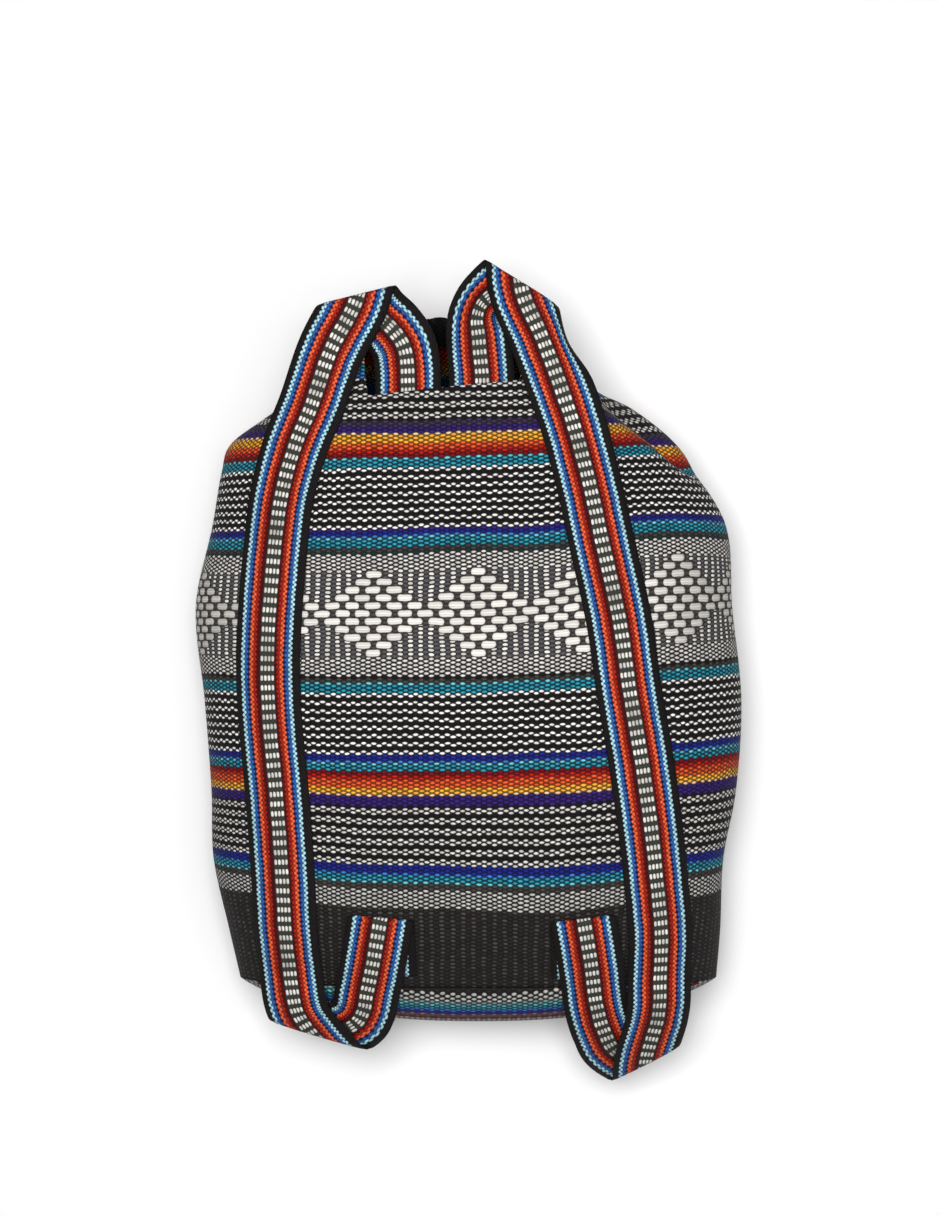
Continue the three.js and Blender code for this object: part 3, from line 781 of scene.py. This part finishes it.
# The camera, as the photograph was taken: its frame's height and the size of a pixel at the subject's height
FRAME_HIGH = 1215
MM_PER_PIXEL = 0.6
EYE_HEIGHT = 1575.0
SUBJECT_HEIGHT = 75.0
VIEW_CENTRE = (0.9, 221.1)
SENSOR_HIGH = 24.0

# Soft lamps, in metres and watts: name, place, power, size. All point at the middle of the bag.
LAMPS = [
    ("key", (-0.1, 0.2, 1.95), 30.0, 0.6),
    ("fill", (0.9, -0.4, 1.8), 5.0, 1.4),
    ("overhead", (0.0, 0.0, 2.4), 14.0, 1.6),
]
LAMP_AIM = (0.0, 0.0, 0.08)
WORLD_STRENGTH = 0.12
FLOOR_REACH = 3.0
FLOOR_TONE = 0.93


def threads_before(stripes, mark):
    """The number of threads below a row of a table of stripes."""
    count = 0
    for row in stripes:
        if row == mark:
            return count
        count += row[1]
    return count


def material_tree(name):
    """A new cloth material, whose node tree the values that follow are made in."""
    material = bpy.data.materials.new(name)
    material.use_nodes = True
    Value.tree = material.node_tree
    shader = material.node_tree.nodes["Principled BSDF"]
    shader.inputs["Roughness"].default_value = 0.8
    shader.inputs["Specular IOR Level"].default_value = 0.15
    return material, shader


def map_place(name):
    """A UV map, and its two coordinates in millimetres. That of the cloth runs round the bag or across the
    band, and then along it."""
    node = Value.tree.nodes.new("ShaderNodeUVMap")
    node.uv_map = name
    split = Value.tree.nodes.new("ShaderNodeSeparateXYZ")
    Value.tree.links.new(node.outputs["UV"], split.inputs[0])
    return node.outputs["UV"], Value(split.outputs["X"]) / MM, Value(split.outputs["Y"]) / MM


def finish_cloth(shader, colour, height, distance):
    """Gives the shader its colour and its relief, which is distance high where height is 1."""
    Value.tree.links.new(colour, shader.inputs["Base Color"])
    bump = Value.tree.nodes.new("ShaderNodeBump")
    bump.inputs["Strength"].default_value = 0.8
    bump.inputs["Distance"].default_value = distance
    Value.tree.links.new(height.socket, bump.inputs["Height"])
    Value.tree.links.new(bump.outputs["Normal"], shader.inputs["Normal"])


def float_shade(weave, gap, fibre):
    """The light on a float: full on its crown, and down to its gap share between floats."""
    crown = (1.0 - weave.off).ramp(0.02, 0.95)
    return lerp(gap, 1.0, crown) * lerp(0.78, 1.14, weave.chance) * lerp(0.8, 1.2, fibre)


def striped_cloth(name, stripes, is_outer, painted_shade=1.0):
    """Warp-faced cloth: each thread runs round the bag and shows as a row of small oval floats. The outer
    cloth of the bag has the crease, the seam's floats and the band of diamonds too."""
    material, shader = material_tree(name)
    uv, u, v = map_place("cloth")
    fibre = noise(uv, FIBRE_SCALE)
    if is_outer:
        _, beyond, along = map_place("crease")
        lower = beyond.ramp(-CREASE_EDGE, CREASE_EDGE) * (1 - along.ramp(*CREASE_FADE))
        v = v + lower * CREASE_SHIFT
    v = v + wander(uv, *SLOW_WANDER) + wander(uv, *FINE_WANDER)
    u = u + wander(uv, *SIDE_WANDER)
    weave = Weave(u, v, PICK, THREAD, FLOAT_LONG, FLOAT_WIDE)
    yarn, gap = colour_bands(weave.thread + 0.5, stripes)
    colour = scale_colour(yarn, float_shade(weave, gap, fibre))
    relief = weave.height
    if is_outer:
        colour = seam_floats(v, weave, colour)
        colour, relief = diamond_band(u, v, weave, colour, relief, fibre)
    # Slow random change of brightness over the cloth; on the inner side it is also darkened as painted shade
    colour = scale_colour(colour, painted_shade * lerp(0.9, 1.1, noise(uv, CLOTH_TONE_SCALE, 3.0)))
    finish_cloth(shader, colour, relief + FIBRE_RELIEF * fibre, CLOTH_RELIEF)
    return material


def seam_floats(v, weave, colour):
    """Faint paler floats in every second column of the first stripe, by the seam."""
    seam_stripe = CLOTH_STRIPES[0][1] * THREAD
    dotted = v.below(seam_stripe) * weave.first * weave.height.ramp(0.35, 0.95)
    return mix_colour(dotted * lerp(0.15, 0.7, weave.chance), colour, SEAM_FLOAT)


def diamond_ground(weave):
    """Between the diamonds: white dashes in every second column of the weave, grey in the others."""
    dash = (1 - weave.off_along * 1.15 - weave.off_across * 0.9).ramp(0.0, 0.45) * weave.first
    # The grey is painted shade: dark down between floats and lighter on their crowns
    grey = scale_colour(mix_colour(weave.first, GROUND_GREY, GROUND_DARK), lerp(0.45, 1.1, weave.height))
    return mix_colour(dash, grey, scale_colour(WHITE_FLOAT, lerp(0.6, 0.95, weave.chance)))


def diamond_band(u, v, weave, colour, relief, fibre):
    """Long white floats laid like bricks, in rows that widen and narrow again to diamonds."""
    low = (threads_before(CLOTH_STRIPES, DIAMOND_STRIPE) - 0.5) * THREAD
    high = DIAMOND_STRIPE[1] * THREAD
    inside = v.above(low) * v.below(low + high)
    colour = mix_colour(inside, colour, diamond_ground(weave))
    # Odd rows have a brick on the diamond's middle, even ones have two beside it
    row_place = (v - low) / (high / DIAMOND_ROWS)
    row = row_place.floor()
    half_count = ((DIAMOND_ROWS + 1) / 2 - (row - (DIAMOND_ROWS - 1) / 2).abs()) / 2
    odd = (half_count - half_count.floor()) * 2
    diamond = ((u - DIAMOND_PLACE) / (DIAMOND_PICKS * PICK) + 0.5).floor()
    local = (u - DIAMOND_PLACE) / (BRICK_PICKS * PICK) - diamond * (DIAMOND_PICKS / BRICK_PICKS)
    middle = (local + 0.5 * odd).floor() + 0.5 - 0.5 * odd
    present = inside * middle.abs().below(half_count + 0.01)
    # Painted shade on the ground between bricks: darker down between floats, lighter on their crowns
    colour = mix_colour(present, colour, scale_colour(BRICK_GROUND, lerp(0.35, 1.1, weave.height)))
    # Rounded floats side by side make each brick, with a painted highlight on their crowns and painted shade
    # between the lanes
    ends = (local - middle) * (2 / BRICK_LONG)
    ends = ends * ends * ends
    across = (row_place - row - 0.5) * (2 / BRICK_WIDE)
    rounded = (1 - ends * ends - across * across).max(0.0).sqrt()
    lane = (across + 1) * (BRICK_LANES / 2)
    lane = (lane - lane.floor()) * 2 - 1
    lanes = lerp(0.5, 1.0, (1 - lane * lane).ramp(0.0, 0.6))
    # Painted shade: bricks darker towards the bag's sides, where less light falls
    side_shade = 1 - BRICK_SIDE_SHADE * u.abs().ramp(*BRICK_SIDES)
    chance = speckle(middle * 2 + diamond * 10, row)
    bright = lerp(0.5, 1.0, rounded) * lanes * lerp(0.8, 1.0, chance) * lerp(0.9, 1.2, fibre) * side_shade
    white = scale_colour(WHITE_FLOAT, bright.min(1.0))
    colour = mix_colour(rounded.ramp(0.1, 0.5) * present, colour, white)
    return colour, choose(present, rounded * 1.5, relief)


def woven_band(name):
    """The band: black edges, coloured lines of dotted threads and a ladder of white floats in the middle."""
    material, shader = material_tree(name)
    uv, across, along = map_place("cloth")
    fibre = noise(uv, FIBRE_SCALE)
    across = across + wander(uv, *BAND_WANDER)
    line = across + STRAP_WIDTH / 2
    weave = Weave(along, line, BAND_PICK, BAND_THREAD, BAND_FLOAT_LONG, BAND_FLOAT_WIDE)
    yarn, gap = colour_bands(weave.thread + 0.5, BAND_LINES)
    colour = scale_colour(yarn, float_shade(weave, gap, fibre))
    # The ladder's white floats
    step = along / LADDER_PERIOD
    rung_place = step.floor()
    off_along = (step - rung_place - 0.5) * (2 * LADDER_PERIOD / LADDER_FLOAT)
    lane = across / LADDER_PITCH
    lane_place = lane.floor()
    off_across = (lane - lane_place - 0.5) / LADDER_FILL
    inside = across.abs().below(LADDER_PITCH * LADDER_THREADS / 2)
    square = off_along * off_along
    rung = (1 - square * square - off_across * off_across).max(0.0).sqrt()
    chance = speckle(rung_place, lane_place)
    worn = noise(uv, WORN_SCALE).ramp(0.3, 0.6)
    # Painted highlight on each rung's crown, fading to painted shade at its ends
    shade = lerp(0.5, 1.05, rung) * lerp(0.85, 1.15, fibre)
    bright = shade * lerp(0.72, 1.02, chance) * lerp(0.62, 1.0, worn)
    # Painted shade on the ladder's ground: darker between floats, lighter on their crowns
    ground = scale_colour(LADDER_GROUND, lerp(0.55, 1.25, weave.height))
    colour = mix_colour(inside, colour, ground)
    colour = mix_colour(rung.ramp(0.1, 0.45) * inside, colour, scale_colour(WHITE_FLOAT, bright))
    relief = choose(inside, rung * 1.5 + 0.2 * weave.height, weave.height)
    colour = scale_colour(colour, lerp(0.9, 1.1, noise(uv, BAND_TONE_SCALE, 3.0)))
    finish_cloth(shader, colour, relief + FIBRE_RELIEF * fibre, BAND_RELIEF)
    return material


def body(materials):
    """The bag's cloth, with the maps that its weave and its crease are laid by."""
    columns = (np.arange(BODY_COLUMNS) / BODY_COLUMNS - 0.5) * CLOTH_ROUND
    alongs, x_all, z_all = body_sheet(columns)
    row = np.linspace(0, 1, BODY_ROWS + 1)[:, None]
    rim = rim_along(columns)[None, :]
    along = np.where(row < NECK_START, row, lerp(NECK_START, rim, (row - NECK_START) / (1 - NECK_START)))
    outer = np.zeros(along.shape + (3,))
    for c in range(BODY_COLUMNS):
        outer[:, c, 0] = np.interp(along[:, c], alongs, x_all[:, c])
        outer[:, c, 2] = np.interp(along[:, c], alongs, z_all[:, c])
    outer[:, :, 1] = along * BAG_LENGTH
    crease = crease_place(outer)
    outer = outer - grid_normals(outer, True) * crease_depth(crease)[:, :, None]
    outer[:, :, 2] = np.maximum(outer[:, :, 2], 0.0)
    inner = outer - grid_normals(outer, True) * CLOTH_WALL
    around = np.broadcast_to(columns, along.shape)
    cloth = np.stack([around, outer[:, :, 1] - stripe_rise(outer[:, :, 0], outer[:, :, 1])], axis=-1)
    maps = {"cloth": cloth, "crease": crease}
    return shell_object("bag_cloth", outer, inner, maps, True, materials)


def base(materials):
    """The base: a shallow dome on the outline of the body's first section."""
    x, z, distance = section_run(0.0)
    middle_x, _, middle_z, half_z = section_shape(0.0)
    around = (np.arange(BASE_COLUMNS) / BASE_COLUMNS - 0.5) * CLOTH_ROUND
    at = round_section(distance[-1], around) % distance[-1]
    edge = np.stack([np.interp(at, distance, x) - middle_x, np.interp(at, distance, z) - middle_z], axis=-1)
    angles = np.linspace(DOME_START, DOME_END, BASE_RINGS)

    def dome(size, bulge):
        share = (np.cos(angles) / math.cos(DOME_START) * size)[:, None]
        depth = (np.sin(angles) - math.sin(DOME_START)) / (1 - math.sin(DOME_START)) * bulge
        points = np.zeros((BASE_RINGS, BASE_COLUMNS, 3))
        points[:, :, 0] = middle_x + share * edge[None, :, 0]
        points[:, :, 2] = np.maximum(middle_z + share * edge[None, :, 1], 0.0)
        points[:, :, 1] = -SEAT_GAP - depth[:, None]
        return points[:, ::-1]

    outer = dome(1.0, BASE_BULGE)
    inner = dome(1 - CLOTH_WALL / half_z, BASE_BULGE - CLOTH_WALL)
    cloth = np.stack([outer[:, :, 0], middle_z + half_z - outer[:, :, 2]], axis=-1)
    return shell_object("base_cloth", outer, inner, {"cloth": cloth}, True, materials)


class Fold:
    """A fold of a flat strip: its line in the plan, and the side that lies beyond it."""

    def __init__(self, spec, radius, outward):
        heading = math.radians(spec["heading"])
        self.middle = plan_place(spec["place"])
        self.line = np.array([math.cos(heading), math.sin(heading)])
        self.normal = np.array([-self.line[1], self.line[0]]) * outward
        self.radius = radius
        self.round = math.pi * radius

    def beyond(self, point):
        return (point - self.middle) @ self.normal

    def unfold(self, point):
        return point + self.normal * (self.round - 2 * self.beyond(point))

    def fold(self, points):
        beyond = self.beyond(points)
        turn = np.clip(beyond / self.radius, 0, math.pi)
        back_under = np.maximum(beyond - self.round, 0)
        offset = np.where(beyond > 0, self.radius * np.sin(turn) - back_under - beyond, 0.0)
        back = np.where(beyond > 0, back_under, -beyond)
        return points + offset[..., None] * self.normal, (1 - np.cos(turn)) / 2, back


def plan_place(share):
    """A place in the plan from its shares of the half width and of the length."""
    return np.array([share[0] * BAG_HALF_WIDTH, share[1] * BAG_LENGTH])


def hump(distance, place, reach):
    """1 at its place along the strap, and 0 beyond its reach."""
    off = np.minimum(np.abs(distance - place) / reach, 1.0)
    return np.cos(off * math.pi / 2) ** 2


def catmull_rom(points, steps):
    """The uniform Catmull-Rom curve through points, with steps to each stretch."""
    padded = np.concatenate([points[:1], points, points[-1:]])
    out = []
    for i in range(len(points) - 1):
        p0, p1, p2, p3 = padded[i:i + 4]
        t = (np.arange(steps) / steps)[:, None]
        v0 = (p2 - p0) / 2
        v1 = (p3 - p1) / 2
        out.append((2 * p1 - 2 * p2 + v0 + v1) * t**3 + (-3 * p1 + 3 * p2 - 2 * v0 - v1) * t**2 + v0 * t + p1)
    out.append(points[-1:])
    return np.concatenate(out)


class StrapLayout:
    """The strip laid out flat, from its hem to its end in the mouth, with the places of its folds."""

    def __init__(self, plan):
        self.plan = plan
        self.tip = Fold(plan["tip_fold"], TIP_FOLD_RADIUS, -1)
        self.top = Fold(plan["top_fold"], TOP_FOLD_RADIUS, 1)
        self.hem = Fold(plan["hem_fold"], HEM_FOLD_RADIUS, 1)
        tail = [plan_place(share) for share in plan["tail"]]
        onward = self.hem.middle - tail[-1]
        onward /= np.linalg.norm(onward)
        hem_end = self.hem.middle + onward * (self.hem.round + HEM_LENGTH)
        lower = [self.tip.unfold(p) for p in [hem_end, self.hem.middle, *tail[::-1]]]
        upper = [self.top.unfold(plan_place(share)) for share in plan["short"][::-1]]
        main = [plan_place(share) for share in plan["main"][::-1]]
        places = np.array([*lower, self.tip.middle, *main, self.top.middle, *upper])
        self.line = catmull_rom(places, CURVE_STEPS)
        hops = np.linalg.norm(np.diff(self.line, axis=0), axis=1)
        self.run = np.concatenate([[0.0], np.cumsum(hops)])
        self.length = self.run[-1]
        self.hem_at = self.run[CURVE_STEPS]
        self.tip_at = self.run[len(lower) * CURVE_STEPS]
        self.top_at = self.run[(len(places) - 1 - len(upper)) * CURVE_STEPS]

    def line_at(self, distance):
        at = np.clip(distance, 0, self.length)
        return np.stack([np.interp(at, self.run, self.line[:, k]) for k in (0, 1)], axis=-1)

    def frame(self, distance):
        """The strip's centre at a distance along it, the way that it runs there, and the way to its side."""
        tangent = self.line_at(distance + STRIP_TANGENT) - self.line_at(distance - STRIP_TANGENT)
        tangent /= np.linalg.norm(tangent, axis=-1, keepdims=True)
        return self.line_at(distance), tangent, np.stack([tangent[..., 1], -tangent[..., 0]], axis=-1)

    def turned_across(self, distance, across):
        """How far aside a point of the width lies, and how far it is raised, by tilt and rolled edge."""
        tilt_share = hump(distance, self.top_at + TOP_TURN_PLACE, TOP_TURN_REACH)
        bank = math.radians(self.plan["turn_bank"]) * tilt_share
        start = EDGE_ROLL_START * STRAP_WIDTH
        roll_share = hump(distance, self.top_at - EDGE_ROLL_PLACE, EDGE_ROLL_REACH)
        turn = math.radians(self.plan["edge_roll"]) * roll_share / (STRAP_WIDTH / 2 - start)
        turn = np.maximum(turn, 1e-9)
        beyond = np.maximum(across - start, 0.0)
        inward = beyond - np.sin(turn * beyond) / turn
        drop = (1 - np.cos(turn * beyond)) / turn
        return across * np.cos(bank) - inward, across * np.sin(bank) - drop

    def upper_height(self, folded, under, back, raised):
        """Heights by the top fold: resting on the back, or below the fold and on into the mouth."""
        along = folded[..., 1] / BAG_LENGTH
        centre = self.plan["top_fold"]["height"] * BAG_THICKNESS
        radius = TOP_FOLD_RADIUS * (1 - 2 * under)
        half = STRAP_CLEAR + STRAP_THICK / 2
        over = centre + radius - TOP_RUN_SLOPE * back + raised
        ground = back_height(folded[..., 0], along) + half
        resting = (over + ground + np.hypot(over - ground, SMOOTH_REACH)) / 2
        free = centre + radius - SHORT_RUN_SLOPE * back
        inside = back_height(folded[..., 0], along) - CLOTH_WALL - half - SEAT_GAP
        rim = notch_rim(folded[..., 0])
        below = lerp(inside, free, smoothstep(along, rim + RIM_CLEAR, rim + 5 * RIM_CLEAR)) + raised
        return np.where(under < 0.5, resting, below)

    def lower_height(self, folded, under, hem_under, along):
        """Heights by the tip fold: on the back, and dropping past the base."""
        beyond = np.maximum(-along, 0) * BAG_LENGTH
        drop = TIP_DROP_SLOPE * beyond + TIP_DROP_CURVE * beyond**2
        on_bag = smoothstep(along, -EDGE_REACH, EDGE_REACH)
        over_tip = (1 - under) * 2 * TIP_FOLD_RADIUS * (1 - on_bag)
        over_hem = under * 2 * HEM_FOLD_RADIUS * (1 - hem_under) * on_bag
        ground = back_height(folded[..., 0], np.maximum(along, 0)) - drop
        return ground + STRAP_CLEAR + STRAP_THICK / 2 + over_tip + over_hem

    def points(self, distance, across):
        """Points of the strap's middle surface."""
        centre, _, side = self.frame(distance)
        aside, raised = self.turned_across(distance, across)
        flat = centre + side * aside[..., None]
        upper, upper_under, upper_back = self.top.fold(flat)
        lower, lower_under, _ = self.tip.fold(flat)
        hemmed, hem_under, _ = self.hem.fold(lower)
        is_tail = lower_under > 0.999
        lower = np.where(is_tail[..., None], hemmed, lower)
        hem_under = np.where(is_tail, hem_under, 0.0)
        upper_z = self.upper_height(upper, upper_under, upper_back, raised)
        lower_z = self.lower_height(lower, lower_under, hem_under, lower[..., 1] / BAG_LENGTH)
        is_upper = distance > (self.tip_at + self.top_at) / 2
        plan = np.where(is_upper[..., None], upper, lower)
        height = np.where(is_upper, upper_z, lower_z)
        return np.concatenate([plan, height[..., None]], axis=-1)

    def cuts(self):
        """Distances of the cuts across the strip and their leans, close together round each fold."""
        zones = []
        for fold, at, sense, frame_fold in (
            (self.hem, self.hem_at, -1, self.tip),
            (self.tip, self.tip_at, -1, None),
            (self.top, self.top_at, 1, None),
        ):
            _, tangent, side = self.frame(np.array(at))
            line = fold.line
            if frame_fold is not None:
                line = line - 2 * (line @ frame_fold.normal) * frame_fold.normal
            start = at - fold.round if sense < 0 else at
            end = start + fold.round
            zones.append((start - FOLD_MARGIN, end + FOLD_MARGIN, (tangent @ line) / (side @ line)))
        stops = [0.0]
        for low, high, _ in zones:
            stops += [low, high]
        stops.append(self.length)
        distances = [np.array([0.0])]
        for k in range(1, len(stops)):
            step = FOLD_STEP if k % 2 == 0 else STRAP_STEP
            count = max(math.ceil((stops[k] - stops[k - 1]) / step), 1)
            distances.append(np.linspace(stops[k - 1], stops[k], count + 1)[1:])
        distance = np.concatenate(distances)
        lean = np.zeros_like(distance)
        for low, high, zone_lean in zones:
            off = np.maximum(np.maximum(low - distance, distance - high), 0)
            lean += zone_lean * (1 - smoothstep(off, 0, LEAN_FADE))
        lean[[0, -1]] = 0.0
        return distance, lean


def strap(name, plan, materials):
    """A strap's band, thinner at its edges, with its width and its length as the map of its weave."""
    layout = StrapLayout(plan)
    distance, lean = layout.cuts()
    across = (np.linspace(0, 1, STRAP_ACROSS + 1) - 0.5) * STRAP_WIDTH
    run = distance[:, None] + across[None, :] * lean[:, None]
    spread = np.broadcast_to(across, run.shape)
    middle = layout.points(run, spread)
    normals = grid_normals(middle, False)
    edge = np.abs(np.linspace(-1, 1, STRAP_ACROSS + 1)) ** STRAP_EDGE_POWER
    thick = STRAP_THICK / 2 * (1 - STRAP_EDGE_THIN * edge)[None, :, None]
    maps = {"cloth": np.stack([spread, run], axis=-1)}
    return shell_object(name, middle + normals * thick, middle - normals * thick, maps, False, materials)


def camera():
    """A camera that looks straight down, as the photograph was taken."""
    data = bpy.data.cameras.new("camera")
    data.sensor_fit = "VERTICAL"
    data.sensor_height = SENSOR_HIGH
    data.lens = SENSOR_HIGH * (EYE_HEIGHT - SUBJECT_HEIGHT) / (FRAME_HIGH * MM_PER_PIXEL)
    eye = bpy.data.objects.new("camera", data)
    eye.location = Vector((VIEW_CENTRE[0], VIEW_CENTRE[1] + SEAM_Y, EYE_HEIGHT)) * MM
    bpy.context.collection.objects.link(eye)
    bpy.context.scene.camera = eye


def lights():
    """The soft lamps of a studio, and an even pale surround."""
    for name, place, power, size in LAMPS:
        light = bpy.data.lights.new(name, "AREA")
        light.energy = power
        light.size = size
        lamp = bpy.data.objects.new(name, light)
        lamp.location = place
        lamp.rotation_euler = (Vector(LAMP_AIM) - Vector(place)).to_track_quat("-Z", "Y").to_euler()
        bpy.context.collection.objects.link(lamp)
    world = bpy.data.worlds.new("world")
    world.use_nodes = True
    background = world.node_tree.nodes["Background"]
    background.inputs["Color"].default_value = (1.0, 1.0, 1.0, 1.0)
    background.inputs["Strength"].default_value = WORLD_STRENGTH
    bpy.context.scene.world = world
    bpy.context.scene.view_settings.view_transform = "Standard"


def floor():
    """A plain pale floor."""
    mesh = bpy.data.meshes.new("floor")
    corners = [(x * FLOOR_REACH, y * FLOOR_REACH, 0) for x, y in ((-1, -1), (1, -1), (1, 1), (-1, 1))]
    mesh.from_pydata(corners, [], [(0, 1, 2, 3)])
    material = bpy.data.materials.new("pale_floor")
    material.use_nodes = True
    shader = material.node_tree.nodes["Principled BSDF"]
    shader.inputs["Base Color"].default_value = (FLOOR_TONE, FLOOR_TONE, FLOOR_TONE, 1.0)
    shader.inputs["Roughness"].default_value = 0.9
    mesh.materials.append(material)
    obj = bpy.data.objects.new("floor", mesh)
    bpy.context.collection.objects.link(obj)


camera()
lights()
floor()
stripe_material = striped_cloth("striped_cloth", CLOTH_STRIPES, True)
# The inner side: the same cloth, darkened as painted shade
painted_shade_inside_material = striped_cloth("cloth_inside_painted_shade", CLOTH_STRIPES, False, INSIDE_PAINTED_SHADE)
base_material = striped_cloth("base_cloth", BASE_STRIPES, False)
band_material = woven_band("woven_band")

pieces = {
    "bag_body": (body([stripe_material, painted_shade_inside_material]), "striped_cloth"),
    "base_panel": (base([base_material]), "base_cloth"),
}
for strap_name, strap_plan in STRAP_PLANS.items():
    pieces[strap_name] = (strap(strap_name + "_band", strap_plan, [band_material]), "woven_band")
for node_name, (piece, slot_name) in pieces.items():
    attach(piece, "root")
    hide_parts(node_name)
